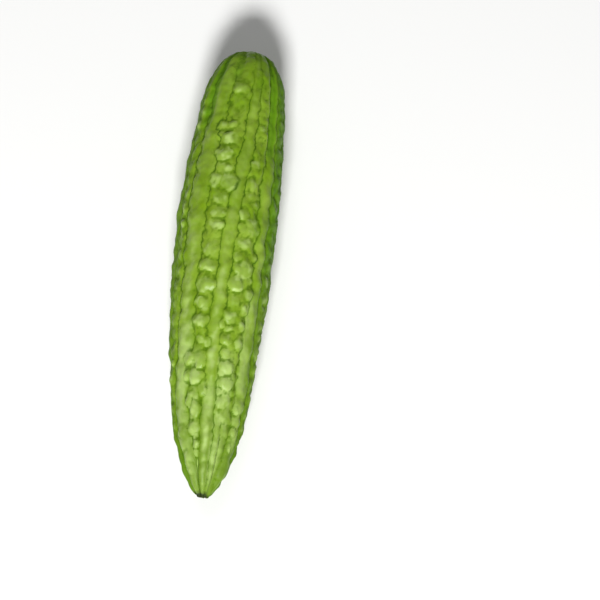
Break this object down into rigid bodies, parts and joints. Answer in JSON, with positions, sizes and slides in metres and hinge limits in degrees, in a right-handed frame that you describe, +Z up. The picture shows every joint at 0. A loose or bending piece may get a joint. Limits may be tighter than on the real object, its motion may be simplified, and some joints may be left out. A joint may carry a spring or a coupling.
{
  "type": "bitter melon",
  "caption": "Whole picked bitter melon with blunt smooth ribs between rows of warts, lying on its side; a food item to place on a surface.",
  "frame": {"origin": "on the surface that the fruit rests on, under the middle of its box", "axes": "+Y along the fruit from the blossom end to the stem end, +Z up from the surface, +X to the side that the fruit's middle bends away from"},
  "size_m": [0.0568, 0.259, 0.0562],
  "materials": {
    "green_skin": "satin",
    "dried_scar": "matte",
    "cut_stem": "matte"
  },
  "bodies": {
    "root": {"bitter_melon": "green_skin"}
  },
  "joints": []
}
